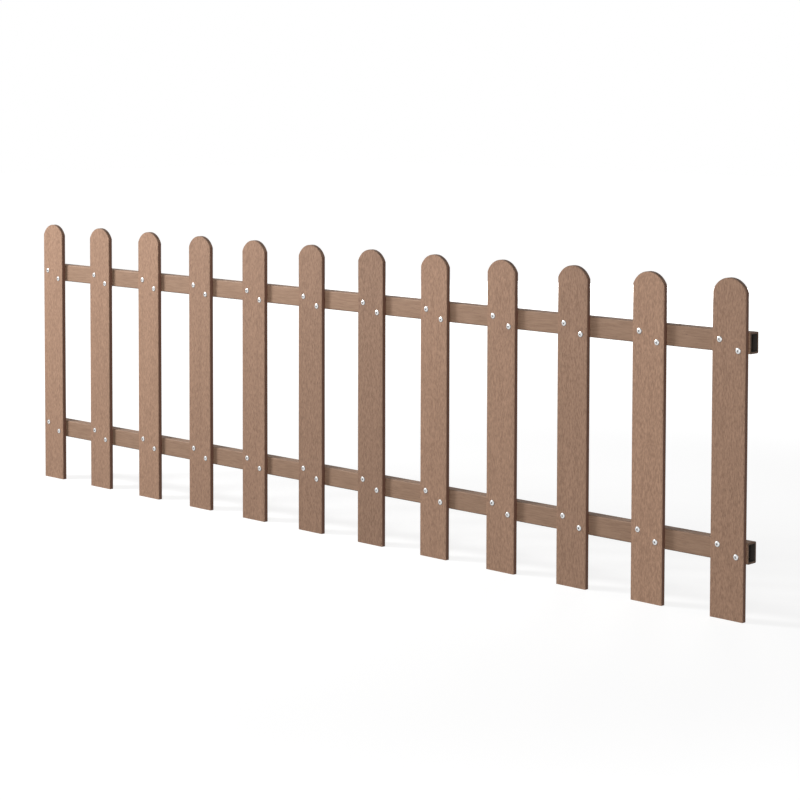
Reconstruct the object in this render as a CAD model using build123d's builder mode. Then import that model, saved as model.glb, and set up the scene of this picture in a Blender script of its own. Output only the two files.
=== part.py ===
"""A low picket fence panel in wood-plastic composite.

Flat pickets with rounded heads are screwed to the front of hollow rails. Each crossing takes a pair
of screws set on a diagonal. The pickets have clearance holes, and the screws tap the rails' front walls.

Millimetres, +Z up. The origin is on the back face of the lower rail, at the middle of its length and height.
+X runs along the rails, and +Y points out of their backs, towards the posts that carry the panel.
"""

import os

from build123d import *

# Rails
rail_length = 2000.0
rail_height = 38.0
rail_depth = 25.0
rail_wall = 3.5
rail_corner_radius = 2.5
hollow_corner_radius = 2.5
rail_spacing = 367.5

# Pickets
picket_count = 12
picket_height = 600.0
picket_width = 70.0
picket_thickness = 10.0
picket_edge_bevel = 1.0
head_rise = 24.0
foot_below_lower_rail = 120.0
rail_overhang = 2.5

# Screw holes, a pair at each crossing
screw_hole_diameter = 4.5
screw_edge_margin = 15.3
screw_pair_drop = 17.5
lower_pair_rise = 2.0
upper_pair_fall = 5.0

# Places worked out from the sizes above
rail_front = -rail_depth
hollow_height = rail_height - 2 * rail_wall
hollow_depth = rail_depth - 2 * rail_wall
picket_front = rail_front - picket_thickness
picket_foot = -foot_below_lower_rail
picket_crown = picket_foot + picket_height
picket_shoulder = picket_crown - head_rise
first_picket = -rail_length / 2 + rail_overhang + picket_width / 2
picket_pitch = -2 * first_picket / (picket_count - 1)
picket_centres = [first_picket + number * picket_pitch for number in range(picket_count)]

rails = [("lower_rail", 0.0), ("upper_rail", rail_spacing)]

# The screws of a pair go in at the upper left and the lower right of the crossing, a little above the middle
# of the lower rail and a little below the middle of the upper one, clear of the hollow's floor and ceiling
screw_side = picket_width / 2 - screw_edge_margin
screw_pair = [(-screw_side, screw_pair_drop / 2), (screw_side, -screw_pair_drop / 2)]
pair_levels = [lower_pair_rise, rail_spacing - upper_pair_fall]


def front_plane(x, y, z):
    """A plane that faces the front of the panel, with its own X along the rails and its own Y upwards."""
    return Plane(origin=(x, y, z), x_dir=(1, 0, 0), z_dir=(0, -1, 0))


os.makedirs("parts", exist_ok=True)

# Rails: a hollow section with rounded corners, sawn square and open at both ends
for rail_name, rail_level in rails:
    with BuildPart() as rail:
        with BuildSketch(Plane.YZ.offset(-rail_length / 2)):
            with Locations((rail_front / 2, rail_level)):
                RectangleRounded(rail_depth, rail_height, rail_corner_radius)
                RectangleRounded(hollow_depth, hollow_height, hollow_corner_radius, mode=Mode.SUBTRACT)
        extrude(amount=rail_length)
    rail.part.label = rail_name
    export_step(rail.part, f"parts/{rail_name}.step")

# Pickets: a flat board with bevelled rims on both faces, sawn square at the foot. The head is one arc, a little
# wider than the board, so it meets the sides at a soft corner
for number, picket_centre in enumerate(picket_centres, start=1):
    with BuildPart() as picket:
        with BuildSketch(front_plane(picket_centre, rail_front, 0)):
            with BuildLine():
                shoulder_left = (-picket_width / 2, picket_shoulder)
                shoulder_right = (picket_width / 2, picket_shoulder)
                foot_left = (-picket_width / 2, picket_foot)
                foot_right = (picket_width / 2, picket_foot)
                Polyline(shoulder_left, foot_left, foot_right, shoulder_right)
                ThreePointArc(shoulder_right, (0, picket_crown), shoulder_left)
            make_face()
        extrude(amount=picket_thickness)
        front_rim = picket.edges().group_by(Axis.Y)[0].sort_by(Axis.Z)[1:]
        back_rim = picket.edges().group_by(Axis.Y)[-1].sort_by(Axis.Z)[1:]
        chamfer(front_rim + back_rim, length=picket_edge_bevel)
        for pair_level in pair_levels:
            with Locations(front_plane(picket_centre, picket_front, pair_level)):
                with Locations(*screw_pair):
                    Hole(radius=screw_hole_diameter / 2, depth=picket_thickness)
    picket.part.label = f"picket_{number:02d}"
    export_step(picket.part, f"parts/picket_{number:02d}.step")
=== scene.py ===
"""A low picket fence panel in wood-plastic composite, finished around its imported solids.

Metres, +Z up. The origin is on the back of the lower rail, +X runs along the rails and +Y points out of their
backs. The pickets and rails are the solids themselves, with a grained composite finish. The screws are new.
"""

import math
import random

import bmesh
import bpy
from bpy.props import FloatProperty, FloatVectorProperty, IntProperty, PointerProperty
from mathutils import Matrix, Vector


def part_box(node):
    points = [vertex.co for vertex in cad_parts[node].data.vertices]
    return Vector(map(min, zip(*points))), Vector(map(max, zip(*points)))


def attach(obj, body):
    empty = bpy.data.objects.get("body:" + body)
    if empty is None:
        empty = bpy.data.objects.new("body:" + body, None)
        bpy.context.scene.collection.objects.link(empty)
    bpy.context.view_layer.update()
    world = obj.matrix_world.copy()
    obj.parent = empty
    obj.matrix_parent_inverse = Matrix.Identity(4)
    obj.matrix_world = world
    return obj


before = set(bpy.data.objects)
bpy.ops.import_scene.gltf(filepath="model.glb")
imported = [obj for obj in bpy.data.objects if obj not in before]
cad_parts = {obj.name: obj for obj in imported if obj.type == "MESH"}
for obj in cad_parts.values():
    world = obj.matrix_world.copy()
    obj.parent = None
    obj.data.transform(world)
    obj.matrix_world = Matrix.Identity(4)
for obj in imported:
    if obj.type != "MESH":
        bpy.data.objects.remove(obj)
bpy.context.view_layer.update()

bl_info = {
    "name": "Composite picket fence",
    "version": (1, 0, 0),
    "blender": (4, 5, 0),
    "location": "View3D > Sidebar > Fence",
    "description": "Finishes a composite picket fence panel and sets up its studio",
    "category": "Object",
}

BODY = "root"
PICKETS = sorted(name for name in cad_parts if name.startswith("picket_"))
RAILS = ["lower_rail", "upper_rail"]
X, Y, Z = range(3)

# Where the solids stand
PICKET_LOW, PICKET_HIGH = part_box(PICKETS[0])
RAIL_LOW, RAIL_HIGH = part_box(RAILS[0])
PICKET_WIDTH = PICKET_HIGH.x - PICKET_LOW.x
PICKET_FRONT = PICKET_LOW.y
PICKET_FOOT = PICKET_LOW.z
FIRST_PICKET = (PICKET_LOW.x + PICKET_HIGH.x) / 2
PICKET_PITCH = -2 * FIRST_PICKET / (len(PICKETS) - 1)
RAIL_DEPTH = RAIL_HIGH.y - RAIL_LOW.y
RAIL_HEIGHT = RAIL_HIGH.z - RAIL_LOW.z
RAIL_LEVELS = {name: sum(corner.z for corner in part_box(name)) / 2 for name in RAILS}
PANEL_MIDDLE = sum(RAIL_LEVELS.values()) / 2

# Noise: its middle, and the range over which one shade turns into another
NOISE_MIDDLE = 0.5
CLOUD_RANGE = (0.3, 0.7)

# The embossed grain: how it wanders, and how streaks and bands share in its tone, relief and gloss
WAVERS_PER_METRE = 14.0
WAVER_REACH = 0.008
STREAK_SHARE = 0.85
BAND_SHARE = 0.15
TONE_RANGE = (0.30, 0.70)
BAND_RELIEF = 0.3
RELIEF_STRENGTH = 0.35
STREAK_RANGE = (0.25, 0.75)
COMPOSITE_ROUGHNESS = (0.74, 0.58)
COMPOSITE_SPECULAR = 0.35

# Dark pores and pale flecks, from the low and the high end of one noise
PORE_WIDTH = 0.0012
PORE_LENGTH = 0.011
PORE_RANGE = (0.36, 0.24)
PORE_STRENGTH = 0.45
PORE_SHADE = 0.55
FLECK_RANGE = (0.68, 0.80)
FLECK_STRENGTH = 0.30
FLECK_SHADE = 1.35

# Sawn ends
SPECKLE_SCALE = 900.0
SPECKLE_SHARE = 0.6
SAW_LINE_WIDTH = 0.0008
SAW_LINE_LENGTH = 0.03
SAW_LINE_SHARE = 0.4
SAWN_DEEP = 0.65
SAWN_PALE = 1.35

# How squarely a face looks sideways, up or down where its own finish begins and where it is in full
SIDE_RANGE = (0.80, 0.95)
HEAD_RANGE = (0.30, 0.85)
RAIL_TOP_RANGE = (0.35, 0.85)
BEVEL_RANGE = (0.35, 0.65)

# Painted highlight on the bevels, and how far the hollow's dark colour reaches into the wall
BEVEL_HIGHLIGHT_SHARE = 0.25
BEVEL_HIGHLIGHT_PALENESS = 1.25
HOLLOW_DARK_REACH = 0.0003

# Zinc plate, as brightness and roughness, and the cloud in its polish
HEAD_ZINC = (0.74, 0.36)
# The rim's darker, rougher plate is a painted shade ring round the head
RIM_PAINTED_SHADE_ZINC = (0.26, 0.50)
# The recess's darker plate is painted shade
RECESS_PAINTED_SHADE_ZINC = (0.60, 0.50)
ZINC_CLOUD_SCALE = 450.0
ZINC_CLOUD_SHADE = 0.88
ZINC_CLOUD_POLISH = 0.7

# Shape of a screw
DOME_STEPS = 6
PAINTED_SHADE_RIM_START = 0.85
THREAD_FLANK = 0.35
RECESS_TAPER = 0.55
LOOKS_DOWN = -0.5
MERGE_DISTANCE = 0.00001
SMOOTH_ANGLE = math.radians(35)
QUARTER_TURN = math.radians(90)

# Studio white, the floor's greys, and the floor's glow, which leaves a faint shadow near the fence
WHITE = (1.0, 1.0, 1.0, 1.0)
FLOOR_BOUNCE = (0.08, 0.08, 0.08, 1.0)
FLOOR_SHADOW = (0.25, 0.25, 0.25, 1.0)
GLOW_REACH = (1.2, 2.6)
GLOW_STRENGTH = (0.84, 1.0)


def length(name, description, default):
    """A length that a user may change, in metres."""
    return FloatProperty(name=name, description=description, default=default, unit="LENGTH", precision=4)


def place(name, description, default):
    """A point in the fence's frame that a user may change, in metres."""
    return FloatVectorProperty(
        name=name, description=description, default=default, subtype="XYZ", unit="LENGTH"
    )


def colour(name, description, default):
    """A colour that a user may change, as linear red, green and blue."""
    return FloatVectorProperty(name=name, description=description, default=default, size=3, subtype="COLOR")


def share(name, description, default):
    """A number from nought to one that a user may change."""
    return FloatProperty(name=name, description=description, default=default, min=0, max=1, subtype="FACTOR")


def power(name, description, default):
    """A lamp's power that a user may change, in watts."""
    return FloatProperty(name=name, description=description, default=default, unit="POWER")


class FenceCompositeSettings(bpy.types.PropertyGroup):
    """Colours and grain of the composite boards"""

    picket_dark: colour("Picket groove", "Brown in the grooves of a picket's grain", (0.278, 0.164, 0.107))
    picket_light: colour("Picket ridge", "Brown on the ridges of a picket's grain", (0.440, 0.268, 0.179))
    rail_dark: colour("Rail groove", "Brown in the grooves of a rail's grain", (0.290, 0.178, 0.117))
    rail_light: colour("Rail ridge", "Brown on the ridges of a rail's grain", (0.370, 0.234, 0.157))
    # The side brown is partly a smoother skin and partly painted shade for sides turned from the key lamp
    picket_side_skin_and_shade: colour("Picket edge", "Brown of the smooth skin on a picket's edges", (0.190, 0.096, 0.063))
    # The darker top and underside of a rail are painted shade
    rail_top_painted_shade: share("Rail edge", "Share of a rail's brown that its smoother top and underside keep", 0.78)
    lower_tint: share("Lower rail tint", "Share of a rail's brown that the lower rail keeps", 0.95)
    sawn: colour("Sawn end", "Brown of a sawn end or a routed head", (0.175, 0.105, 0.072))
    # The inside faces of the hollow are coloured near black
    hollow: colour("Rail hollow", "Dark skin inside a rail", (0.036, 0.029, 0.024))
    streak_width: length("Streak width", "Width of one streak of the embossed grain", 0.0023)
    picket_streak: length("Picket streak", "Length of one streak of a picket's grain", 0.008)
    rail_streak: length("Rail streak", "Length of one streak of a rail's grain", 0.040)
    band_width: length("Band width", "Width of a broad paler or darker band", 0.011)
    band_length: length("Band length", "Length of a broad paler or darker band", 0.40)
    grain_depth: length("Grain depth", "Depth of the embossed grain", 0.0004)
    board_spread: share("Board spread", "How much one board may be paler than another", 0.36)
    board_lot: IntProperty(
        name="Board lot", description="Lot number that sets how pale each board is", default=695199
    )
    rail_wall: length("Rail wall", "Thickness of a rail's wall", 0.0035)


class FenceScrewSettings(bpy.types.PropertyGroup):
    """Sizes and places of the screws"""

    head_diameter: length("Head diameter", "Across the head", 0.0108)
    head_rim: length("Head rim", "Height of the head's upright rim", 0.0004)
    head_dome: length("Head dome", "Height of the dome above the rim", 0.0014)
    recess_span: length("Recess span", "Across the wings of the cross recess", 0.0066)
    recess_width: length("Recess width", "Width of one wing of the recess", 0.0021)
    recess_depth: length("Recess depth", "Depth of the recess below the dome's top", 0.0022)
    shank_length: length("Shank length", "From under the head to the tip", 0.025)
    thread_root: length("Thread root", "Diameter at the root of the thread", 0.0028)
    thread_crest: length("Thread crest", "Diameter at the crest of the thread", 0.0040)
    thread_pitch: length("Thread pitch", "From one crest to the next", 0.0018)
    tip_length: length("Tip length", "Length of the drill tip", 0.0045)
    edge_margin: length("Edge margin", "From a picket's edge to the screw's middle", 0.0153)
    pair_drop: length("Pair drop", "From the upper screw of a pair down to the lower one", 0.0175)
    lower_pair_rise: length(
        "Lower pair rise", "From the lower rail's middle up to the pair's middle", 0.0020
    )
    upper_pair_fall: length(
        "Upper pair fall", "From the upper rail's middle down to the pair's middle", 0.0050
    )
    sides: IntProperty(name="Sides", description="Sides of the turned shape", default=24, min=8)
    seed: IntProperty(name="Seed", description="Seed of the turn that each screw stopped at", default=7)


class FenceStageSettings(bpy.types.PropertyGroup):
    """Camera and light of the studio"""

    camera_place: place("Camera", "Where the camera stands", (3.1149, -3.1008, 0.8157))
    camera_turn: FloatVectorProperty(
        name="Camera turn",
        description="Tilt, roll and turn of the camera",
        default=(math.radians(86.87), math.radians(-0.141), math.radians(43.85)),
        subtype="EULER",
    )
    camera_lens: FloatProperty(name="Lens", description="Focal length", default=96.5, unit="CAMERA")
    camera_shift: FloatProperty(
        name="Shift", description="Rise of the lens, as a share of the frame", default=-0.25
    )
    key_place: place("Key lamp", "Where the lamp on the left stands", (-2.16, -1.38, 1.65))
    key_power: power("Key power", "Power of the lamp on the left", 82.0)
    key_size: length("Key size", "Width and height of the lamp on the left", 0.7)
    front_place: place("Front lamp", "Where the broad lamp by the camera stands", (2.76, -3.30, 0.60))
    front_power: power("Front power", "Power of the broad lamp by the camera", 74.0)
    front_size: length("Front size", "Width and height of the broad lamp", 1.0)
    near_place: place("Near lamp", "Where the small lamp over the middle stands", (-0.01, -0.63, 1.05))
    near_power: power("Near power", "Power of the small lamp over the middle", 2.6)
    near_size: length("Near size", "Width and height of the small lamp", 0.4)
    back_place: place("Back lamp", "Where the lamp behind the panel stands", (-2.60, 5.00, 0.40))
    back_power: power("Back power", "Power of the lamp behind the panel", 280.0)
    back_size: length("Back size", "Width and height of the lamp behind", 2.0)
    ambient: FloatProperty(name="Ambient", description="Strength of the even light all round", default=0.06)
    floor_size: length("Floor size", "Width of the floor", 30.0)


def put(tree, kind, inputs, **settings):
    """Adds a node, sets it up, and sets or links its inputs."""
    made = tree.nodes.new(kind)
    for name, value in settings.items():
        setattr(made, name, value)
    for key, value in inputs.items():
        if isinstance(value, bpy.types.NodeSocket):
            tree.links.new(value, made.inputs[key])
        else:
            made.inputs[key].default_value = value
    return made


def maths(tree, operation, *values):
    """The output of a Math node."""
    return put(tree, "ShaderNodeMath", dict(enumerate(values)), operation=operation).outputs[0]


def weighed(tree, first, first_share, second, second_share):
    """The sum of two values, each taken by its share."""
    taken = maths(tree, "MULTIPLY", first, first_share)
    return maths(tree, "ADD", taken, maths(tree, "MULTIPLY", second, second_share))


def mixed(tree, factor, first, second):
    """The output of a colour Mix node."""
    return put(tree, "ShaderNodeMix", {"Factor": factor, 6: first, 7: second}, data_type="RGBA").outputs[2]


def ramp(tree, value, low, high, to_low=0.0, to_high=1.0):
    """Maps value from low..high to to_low..to_high, smoothly and clamped."""
    inputs = {"Value": value, "From Min": low, "From Max": high, "To Min": to_low, "To Max": to_high}
    return put(tree, "ShaderNodeMapRange", inputs, interpolation_type="SMOOTHSTEP").outputs["Result"]


def opaque(rgb, shade=1.0):
    """A colour made darker or paler by a shade, with its alpha."""
    return (*(min(1.0, part * shade) for part in rgb), 1.0)


def new_material(name):
    """An empty node material, its tree and its shader."""
    material = bpy.data.materials.new(name)
    material.use_nodes = True
    tree = material.node_tree
    tree.nodes.clear()
    shader = put(tree, "ShaderNodeBsdfPrincipled", {})
    put(tree, "ShaderNodeOutputMaterial", {"Surface": shader.outputs[0]})
    return material, tree, shader


def stretched_noise(tree, spot, across, along, axis, detail, roughness=0.55):
    """Noise whose blots are drawn out along one axis."""
    scale = [1 / across] * 3
    scale[axis] = 1 / along
    mapping = put(tree, "ShaderNodeMapping", {"Vector": spot, "Scale": scale})
    inputs = {"Vector": mapping.outputs[0], "Scale": 1.0, "Detail": detail, "Roughness": roughness}
    return put(tree, "ShaderNodeTexNoise", inputs).outputs["Fac"]


def composite_material(name, settings, axis, streak_length, dark, light):
    """Matte composite with grain along one axis.

    Returns the material, its tree, shader and colour, the spot that is shaded and the way it faces.
    """
    material, tree, shader = new_material(name)
    spot = put(tree, "ShaderNodeTexCoord", {}).outputs["Object"]
    normal = put(tree, "ShaderNodeNewGeometry", {}).outputs["True Normal"]
    facing = put(tree, "ShaderNodeSeparateXYZ", {0: normal}).outputs

    # The grain wanders a little from side to side
    drift = put(tree, "ShaderNodeMapping", {"Vector": spot, "Scale": (WAVERS_PER_METRE,) * 3})
    waver = put(tree, "ShaderNodeTexNoise", {"Vector": drift.outputs[0], "Scale": 1.0, "Detail": 1.0})
    inputs = {0: waver.outputs["Color"], 1: (NOISE_MIDDLE,) * 3}
    bend = put(tree, "ShaderNodeVectorMath", inputs, operation="SUBTRACT").outputs[0]
    inputs = {0: bend, 1: (WAVER_REACH,) * 3, 2: spot}
    grain_spot = put(tree, "ShaderNodeVectorMath", inputs, operation="MULTIPLY_ADD").outputs[0]

    streak_size = settings.streak_width, streak_length
    band_size = settings.band_width, settings.band_length
    streaks = stretched_noise(tree, grain_spot, *streak_size, axis, detail=3.0, roughness=0.6)
    bands = stretched_noise(tree, grain_spot, *band_size, axis, detail=2.0)
    pores = stretched_noise(tree, grain_spot, PORE_WIDTH, PORE_LENGTH, axis, detail=1.0)

    tone = weighed(tree, streaks, STREAK_SHARE, bands, BAND_SHARE)
    base = mixed(tree, ramp(tree, tone, *TONE_RANGE), opaque(dark), opaque(light))
    pore_mask = ramp(tree, pores, *PORE_RANGE)
    pore_share = maths(tree, "MULTIPLY", pore_mask, PORE_STRENGTH)
    base = mixed(tree, pore_share, base, opaque(dark, PORE_SHADE))
    fleck_share = maths(tree, "MULTIPLY", ramp(tree, pores, *FLECK_RANGE), FLECK_STRENGTH)
    base = mixed(tree, fleck_share, base, opaque(light, FLECK_SHADE))

    swell = maths(tree, "ADD", streaks, maths(tree, "MULTIPLY", bands, BAND_RELIEF))
    relief = maths(tree, "SUBTRACT", swell, pore_mask)
    inputs = {"Height": relief, "Strength": RELIEF_STRENGTH, "Distance": settings.grain_depth}
    tree.links.new(put(tree, "ShaderNodeBump", inputs).outputs[0], shader.inputs["Normal"])
    roughness = ramp(tree, streaks, *STREAK_RANGE, *COMPOSITE_ROUGHNESS)
    tree.links.new(roughness, shader.inputs["Roughness"])
    shader.inputs["Specular IOR Level"].default_value = COMPOSITE_SPECULAR
    return material, tree, shader, base, spot, facing


def sawn_colour(tree, settings, spot, axis):
    """Speckled brown of a sawn end, with faint saw lines along one axis."""
    inputs = {"Vector": spot, "Scale": SPECKLE_SCALE, "Detail": 2.0}
    speckle = put(tree, "ShaderNodeTexNoise", inputs).outputs["Fac"]
    lines = stretched_noise(tree, spot, SAW_LINE_WIDTH, SAW_LINE_LENGTH, axis, detail=1.0)
    tone = weighed(tree, speckle, SPECKLE_SHARE, lines, SAW_LINE_SHARE)
    deep = opaque(settings.sawn, SAWN_DEEP)
    pale = opaque(settings.sawn, SAWN_PALE)
    return mixed(tree, ramp(tree, tone, *CLOUD_RANGE), deep, pale)


def picket_material(settings):
    """Composite with upright grain, a brown of its own on each board, a painted highlight on the bevels and
    sawn ends.
    """
    browns = settings.picket_dark, settings.picket_light
    made = composite_material("picket_composite", settings, Z, settings.picket_streak, *browns)
    material, tree, shader, base, spot, facing = made

    # Each board came from another stretch of the line, so its brown differs a little
    across = put(tree, "ShaderNodeSeparateXYZ", {0: spot}).outputs[X]
    from_first = maths(tree, "SUBTRACT", across, FIRST_PICKET)
    number = maths(tree, "ROUND", maths(tree, "DIVIDE", from_first, PICKET_PITCH))
    board = maths(tree, "ADD", number, settings.board_lot)
    chance = put(tree, "ShaderNodeTexWhiteNoise", {"W": board}, noise_dimensions="1D").outputs["Value"]
    spread = settings.board_spread / 2
    tint = ramp(tree, chance, 0.0, 1.0, 1 - spread, 1 + spread)
    base = put(tree, "ShaderNodeHueSaturation", {"Value": tint, "Color": base}).outputs[0]

    # Bevels get a painted highlight, sides a darker skin with painted shade, and the head and foot show the
    # core
    sideways = maths(tree, "ABSOLUTE", facing[X])
    bevel = maths(tree, "MINIMUM", sideways, maths(tree, "ABSOLUTE", facing[Y]))
    # Painted highlight: the bevels are made paler than the face
    painted_bevel_highlight = maths(tree, "MULTIPLY", ramp(tree, bevel, *BEVEL_RANGE), BEVEL_HIGHLIGHT_SHARE)
    base = mixed(tree, painted_bevel_highlight, base, opaque(settings.picket_light, BEVEL_HIGHLIGHT_PALENESS))
    # Smooth skin and painted shade: the sides take the darker side brown
    base = mixed(tree, ramp(tree, sideways, *SIDE_RANGE), base, opaque(settings.picket_side_skin_and_shade))
    cut = ramp(tree, maths(tree, "ABSOLUTE", facing[Z]), *HEAD_RANGE)
    base = mixed(tree, cut, base, sawn_colour(tree, settings, spot, X))
    tree.links.new(base, shader.inputs["Base Color"])
    return material


def rail_material(settings, level, tint):
    """Composite with lengthwise grain, sawn ends and a near-black inside to the hollow of the rail at that
    level.
    """
    browns = settings.rail_dark, settings.rail_light
    made = composite_material("rail_composite", settings, X, settings.rail_streak, *browns)
    material, tree, shader, base, spot, facing = made

    # The lower rail is a little darker than the upper one, and the top and underside get painted shade
    level_side = ramp(tree, maths(tree, "ABSOLUTE", facing[Z]), *RAIL_TOP_RANGE)
    shade = maths(tree, "MULTIPLY", ramp(tree, level_side, 0.0, 1.0, 1.0, settings.rail_top_painted_shade), tint)
    base = put(tree, "ShaderNodeHueSaturation", {"Value": shade, "Color": base}).outputs[0]

    cut = ramp(tree, maths(tree, "ABSOLUTE", facing[X]), *SIDE_RANGE)
    base = mixed(tree, cut, base, sawn_colour(tree, settings, spot, Y))

    # Inside the hollow both distances from the section's middle are small
    section = put(tree, "ShaderNodeSeparateXYZ", {0: spot}).outputs
    depth = maths(tree, "ABSOLUTE", maths(tree, "ADD", section[Y], RAIL_DEPTH / 2))
    height = maths(tree, "ABSOLUTE", maths(tree, "SUBTRACT", section[Z], level))
    in_depth = maths(tree, "LESS_THAN", depth, RAIL_DEPTH / 2 - settings.rail_wall + HOLLOW_DARK_REACH)
    in_height = maths(tree, "LESS_THAN", height, RAIL_HEIGHT / 2 - settings.rail_wall + HOLLOW_DARK_REACH)
    inside = maths(tree, "MULTIPLY", in_depth, in_height)
    base = mixed(tree, inside, base, opaque(settings.hollow))
    tree.links.new(base, shader.inputs["Base Color"])
    return material


def steel_material(name, tone, roughness):
    """Zinc plate with a faint cloud in its polish."""
    material, tree, shader = new_material(name)
    spot = put(tree, "ShaderNodeTexCoord", {}).outputs["Object"]
    inputs = {"Vector": spot, "Scale": ZINC_CLOUD_SCALE, "Detail": 3.0}
    cloud = put(tree, "ShaderNodeTexNoise", inputs).outputs["Fac"]
    grey = [tone] * 3
    base = mixed(tree, ramp(tree, cloud, *CLOUD_RANGE), opaque(grey, ZINC_CLOUD_SHADE), opaque(grey))
    polish = ramp(tree, cloud, *CLOUD_RANGE, roughness, roughness * ZINC_CLOUD_POLISH)
    tree.links.new(base, shader.inputs["Base Color"])
    tree.links.new(polish, shader.inputs["Roughness"])
    shader.inputs["Metallic"].default_value = 1.0
    return material


def dress(node_name, material):
    """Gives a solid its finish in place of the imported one."""
    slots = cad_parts[node_name].data.materials
    slots.clear()
    slots.append(material)


def deselect_all():
    """Goes to object mode and deselects everything."""
    if bpy.context.mode != "OBJECT":
        bpy.ops.object.mode_set(mode="OBJECT")
    bpy.ops.object.select_all(action="DESELECT")


def select_only(obj):
    """Makes obj the one selected and active object."""
    deselect_all()
    obj.select_set(True)
    bpy.context.view_layer.objects.active = obj


def select_faces(test):
    """In edit mode, selects the faces whose middle and normal pass the test."""
    bpy.ops.mesh.select_mode(type="FACE")
    bpy.ops.mesh.select_all(action="DESELECT")
    mesh = bmesh.from_edit_mesh(bpy.context.object.data)
    for face in mesh.faces:
        face.select_set(test(face.calc_center_median(), face.normal))
    bmesh.update_edit_mesh(bpy.context.object.data)


def screw_outline(settings):
    """Half of a screw's outline, from the dome's top to the tip, as radius and height over the picket."""
    radius = settings.head_diameter / 2
    dome = settings.head_dome
    sphere = (radius**2 + dome**2) / (2 * dome)
    reach = math.asin(radius / sphere)
    points = []
    for step in range(DOME_STEPS + 1):
        angle = reach * step / DOME_STEPS
        height = settings.head_rim + dome - sphere * (1 - math.cos(angle))
        points.append((sphere * math.sin(angle), height))
    points.append((radius, 0.0))
    root = settings.thread_root / 2
    crest = settings.thread_crest / 2
    points.append((root, 0.0))
    depth = settings.thread_pitch
    while depth < settings.shank_length - settings.tip_length:
        points.append((root, -depth + settings.thread_pitch * THREAD_FLANK))
        points.append((crest, -depth))
        depth += settings.thread_pitch
    points.append((root, settings.tip_length - settings.shank_length))
    points.append((0.0, -settings.shank_length))
    return points


def turn_screw(settings, steel, shaded_rim):
    """Turns the outline about the screw's axis, with painted shade on the plate round the head's rim."""
    points = screw_outline(settings)
    deselect_all()
    bpy.ops.mesh.primitive_plane_add(size=settings.head_diameter)
    screw = bpy.context.object
    bpy.ops.object.mode_set(mode="EDIT")
    bpy.ops.mesh.merge(type="CENTER")
    bpy.ops.transform.translate(value=(points[0][0], 0, points[0][1]))
    for before, after in zip(points, points[1:]):
        step = (after[0] - before[0], 0, after[1] - before[1])
        bpy.ops.mesh.extrude_vertices_move(TRANSFORM_OT_translate={"value": step})
    bpy.ops.mesh.select_all(action="SELECT")
    bpy.ops.mesh.spin(steps=settings.sides, angle=math.tau, center=(0, 0, 0), axis=(0, 0, 1))
    bpy.ops.mesh.select_all(action="SELECT")
    bpy.ops.mesh.remove_doubles(threshold=MERGE_DISTANCE)
    bpy.ops.mesh.normals_make_consistent(inside=False)
    screw.data.materials.append(steel)
    screw.data.materials.append(shaded_rim)
    inner = settings.head_diameter / 2 * PAINTED_SHADE_RIM_START
    select_faces(lambda middle, normal: middle.xy.length > inner)
    screw.active_material_index = 1
    bpy.ops.object.material_slot_assign()
    bpy.ops.object.mode_set(mode="OBJECT")
    return screw


def recess_wing(settings, span, width):
    """One tapered wing of the cross recess, standing as far out of the head as it goes in."""
    top = settings.head_rim + settings.head_dome
    height = settings.recess_depth * 2
    deselect_all()
    bpy.ops.mesh.primitive_cube_add(size=1, location=(0, 0, top), scale=(span, width, height))
    wing = bpy.context.object
    bpy.ops.object.transform_apply(location=True, rotation=False, scale=True)
    bpy.ops.object.mode_set(mode="EDIT")
    select_faces(lambda middle, normal: normal.z < LOOKS_DOWN)
    floor_middle = (0, 0, top - settings.recess_depth)
    bpy.ops.transform.resize(value=(RECESS_TAPER, RECESS_TAPER, 1), center_override=floor_middle)
    bpy.ops.object.mode_set(mode="OBJECT")
    return wing


def cut_recess(screw, settings, painted_recess_shade):
    """Cuts the cross recess into the head, with painted shade on the plate inside."""
    wing = recess_wing(settings, settings.recess_span, settings.recess_width)
    cross = recess_wing(settings, settings.recess_width, settings.recess_span)
    for cutter in (wing, cross):
        cutter.data.materials.append(painted_recess_shade)
        select_only(screw)
        bpy.ops.object.modifier_add(type="BOOLEAN")
        boolean = screw.modifiers[-1]
        boolean.operation = "DIFFERENCE"
        boolean.solver = "EXACT"
        boolean.material_mode = "TRANSFER"
        boolean.object = cutter
        bpy.ops.object.modifier_apply(modifier=boolean.name)
        select_only(cutter)
        bpy.ops.object.delete()
    select_only(screw)
    bpy.ops.object.shade_smooth_by_angle(angle=SMOOTH_ANGLE)


def screw_places(settings):
    """The two screws of each rail's crossing, as distance right of the picket's middle and height."""
    side = PICKET_WIDTH / 2 - settings.edge_margin
    lower_pair = RAIL_LEVELS["lower_rail"] + settings.lower_pair_rise
    upper_pair = RAIL_LEVELS["upper_rail"] - settings.upper_pair_fall
    for level in (lower_pair, upper_pair):
        yield -side, level + settings.pair_drop / 2
        yield side, level - settings.pair_drop / 2


def drive_screws(pattern, name, middle, settings, chance):
    """Copies the pattern screw to one picket's crossings, as one piece."""
    copies = []
    for right, height in screw_places(settings):
        select_only(pattern)
        bpy.ops.object.duplicate(linked=False)
        copy = bpy.context.object
        copy.location = (middle + right, PICKET_FRONT, height)
        copy.rotation_euler = (QUARTER_TURN, chance.uniform(0, QUARTER_TURN), 0)
        copies.append(copy)
    deselect_all()
    for copy in copies:
        copy.select_set(True)
    bpy.context.view_layer.objects.active = copies[0]
    bpy.ops.object.join()
    bpy.ops.object.transform_apply(location=True, rotation=True, scale=True)
    piece = bpy.context.object
    piece.name = name
    piece.data.name = name
    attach(piece, BODY)


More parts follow.
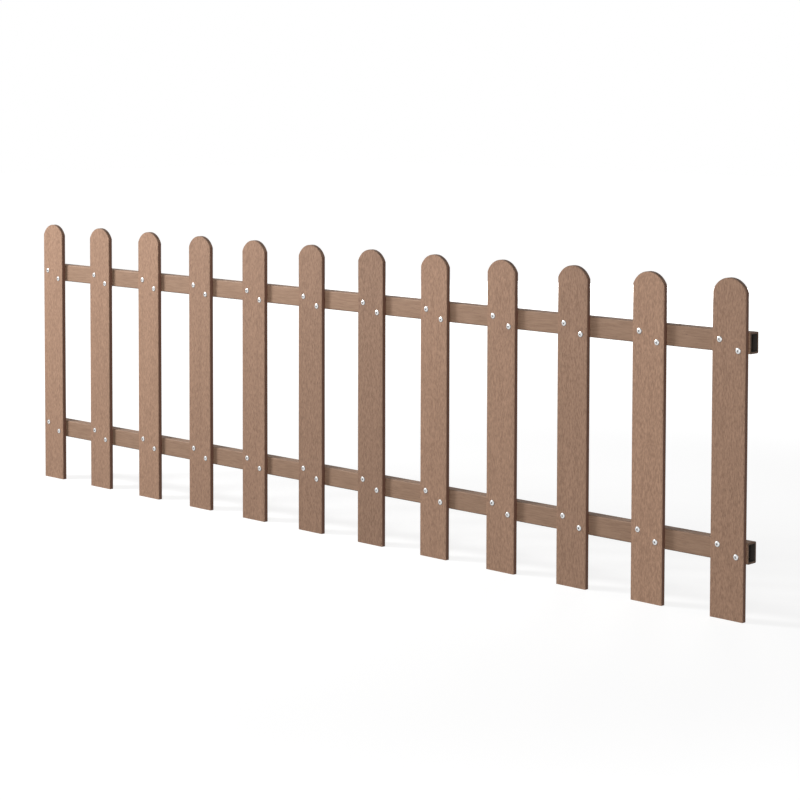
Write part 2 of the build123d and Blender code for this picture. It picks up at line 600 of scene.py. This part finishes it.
def softbox(name, stand, watts, size, shine=True):
    """A square lamp that points at the middle of the panel's front. Without shine it leaves no glint."""
    aim = Vector((0.0, PICKET_FRONT, PANEL_MIDDLE))
    deselect_all()
    bpy.ops.object.light_add(type="AREA", location=stand)
    lamp = bpy.context.object
    lamp.name = name
    lamp.rotation_euler = (aim - Vector(stand)).to_track_quat("-Z", "Y").to_euler()
    lamp.data.shape = "SQUARE"
    lamp.data.size = size
    lamp.data.energy = watts
    lamp.visible_camera = False
    lamp.visible_glossy = shine


def seen_directly(tree):
    """One where the camera, a reflection or a see-through surface looks, and nought for bounced light."""
    path = put(tree, "ShaderNodeLightPath", {}).outputs
    mirrored = maths(tree, "MAXIMUM", path["Is Glossy Ray"], path["Is Transmission Ray"])
    return maths(tree, "MAXIMUM", path["Is Camera Ray"], mirrored)


def white_world(ambient):
    """White where it is seen, and an even light all round."""
    world = bpy.data.worlds.new("studio")
    world.use_nodes = True
    tree = world.node_tree
    tree.nodes.clear()
    light = put(tree, "ShaderNodeBackground", {"Color": WHITE, "Strength": ambient}).outputs[0]
    white = put(tree, "ShaderNodeBackground", {"Color": WHITE, "Strength": 1.0}).outputs[0]
    both = put(tree, "ShaderNodeMixShader", {0: seen_directly(tree), 1: light, 2: white}).outputs[0]
    put(tree, "ShaderNodeOutputWorld", {"Surface": both})
    bpy.context.scene.world = world


def white_floor(size):
    """A pale floor under the pickets' feet, white where it is seen but for a faint shadow near the fence."""
    deselect_all()
    bpy.ops.mesh.primitive_plane_add(size=size, location=(0, 0, PICKET_FOOT))
    floor = bpy.context.object
    floor.name = "floor"
    material = bpy.data.materials.new("pale_floor")
    material.use_nodes = True
    tree = material.node_tree
    tree.nodes.clear()
    spot = put(tree, "ShaderNodeTexCoord", {}).outputs["Object"]
    distance = put(tree, "ShaderNodeVectorMath", {0: spot}, operation="LENGTH").outputs["Value"]
    glow = ramp(tree, distance, *GLOW_REACH, *GLOW_STRENGTH)
    pale = put(tree, "ShaderNodeBsdfDiffuse", {"Color": FLOOR_BOUNCE}).outputs[0]
    shadow = put(tree, "ShaderNodeBsdfDiffuse", {"Color": FLOOR_SHADOW}).outputs[0]
    white = put(tree, "ShaderNodeEmission", {"Color": WHITE, "Strength": glow}).outputs[0]
    seen = put(tree, "ShaderNodeAddShader", {0: shadow, 1: white}).outputs[0]
    both = put(tree, "ShaderNodeMixShader", {0: seen_directly(tree), 1: pale, 2: seen}).outputs[0]
    put(tree, "ShaderNodeOutputMaterial", {"Surface": both})
    floor.data.materials.append(material)


class FENCE_OT_finish_pickets(bpy.types.Operator):
    """Give every picket its brown composite finish with upright grain"""

    bl_idname = "fence.finish_pickets"
    bl_label = "Finish pickets"

    def execute(self, context):
        material = picket_material(context.scene.fence_composite)
        for name in PICKETS:
            dress(name, material)
        return {"FINISHED"}


class FENCE_OT_finish_rails(bpy.types.Operator):
    """Give both rails their composite finish with lengthwise grain and a dark hollow"""

    bl_idname = "fence.finish_rails"
    bl_label = "Finish rails"

    def execute(self, context):
        settings = context.scene.fence_composite
        tints = {"lower_rail": settings.lower_tint, "upper_rail": 1.0}
        for name in RAILS:
            dress(name, rail_material(settings, RAIL_LEVELS[name], tints[name]))
        return {"FINISHED"}


class FENCE_OT_drive_screws(bpy.types.Operator):
    """Model one screw and drive a pair of them in at every crossing"""

    bl_idname = "fence.drive_screws"
    bl_label = "Drive screws"

    def execute(self, context):
        settings = context.scene.fence_screws
        bright = steel_material("bright_zinc", *HEAD_ZINC)
        # The rim plate is darker as painted shade
        shaded_rim = steel_material("rim_zinc_painted_shade", *RIM_PAINTED_SHADE_ZINC)
        pattern = turn_screw(settings, bright, shaded_rim)
        # The recess plate is darker as painted shade
        cut_recess(pattern, settings, steel_material("recess_zinc_painted_shade", *RECESS_PAINTED_SHADE_ZINC))
        chance = random.Random(settings.seed)
        for number, name in enumerate(PICKETS):
            middle = FIRST_PICKET + number * PICKET_PITCH
            drive_screws(pattern, f"{name}_screws", middle, settings, chance)
        select_only(pattern)
        bpy.ops.object.delete()
        return {"FINISHED"}


class FENCE_OT_set_stage(bpy.types.Operator):
    """Set up the white floor, the lamps and the camera"""

    bl_idname = "fence.set_stage"
    bl_label = "Set stage"

    def execute(self, context):
        settings = context.scene.fence_stage
        white_world(settings.ambient)
        white_floor(settings.floor_size)
        softbox("key_softbox", settings.key_place, settings.key_power, settings.key_size)
        softbox("front_softbox", settings.front_place, settings.front_power, settings.front_size)
        softbox("near_softbox", settings.near_place, settings.near_power, settings.near_size)
        softbox("back_softbox", settings.back_place, settings.back_power, settings.back_size, shine=False)
        deselect_all()
        bpy.ops.object.camera_add(location=settings.camera_place, rotation=settings.camera_turn)
        camera = context.object
        camera.data.lens = settings.camera_lens
        camera.data.shift_y = settings.camera_shift
        context.scene.camera = camera
        context.scene.view_settings.view_transform = "Standard"
        return {"FINISHED"}


class FENCE_PT_panel(bpy.types.Panel):
    """Sizes, colours and steps of the fence panel"""

    bl_idname = "FENCE_PT_panel"
    bl_label = "Composite picket fence"
    bl_space_type = "VIEW_3D"
    bl_region_type = "UI"
    bl_category = "Fence"

    def draw(self, context):
        layout = self.layout
        for step in STEPS:
            layout.operator(step.bl_idname)
        for group in (context.scene.fence_composite, context.scene.fence_screws, context.scene.fence_stage):
            box = layout.box()
            for name in group.__annotations__:
                box.prop(group, name)


SETTINGS = {
    "fence_composite": FenceCompositeSettings,
    "fence_screws": FenceScrewSettings,
    "fence_stage": FenceStageSettings,
}
STEPS = (FENCE_OT_finish_pickets, FENCE_OT_finish_rails, FENCE_OT_drive_screws, FENCE_OT_set_stage)
CLASSES = (*SETTINGS.values(), *STEPS, FENCE_PT_panel)


def register():
    for kind in CLASSES:
        bpy.utils.register_class(kind)
    for name, group in SETTINGS.items():
        setattr(bpy.types.Scene, name, PointerProperty(type=group))


def unregister():
    for name in SETTINGS:
        delattr(bpy.types.Scene, name)
    for kind in reversed(CLASSES):
        bpy.utils.unregister_class(kind)


def main():
    register()
    bpy.ops.fence.finish_pickets()
    bpy.ops.fence.finish_rails()
    bpy.ops.fence.drive_screws()
    bpy.ops.fence.set_stage()


if __name__ == "__main__":
    main()
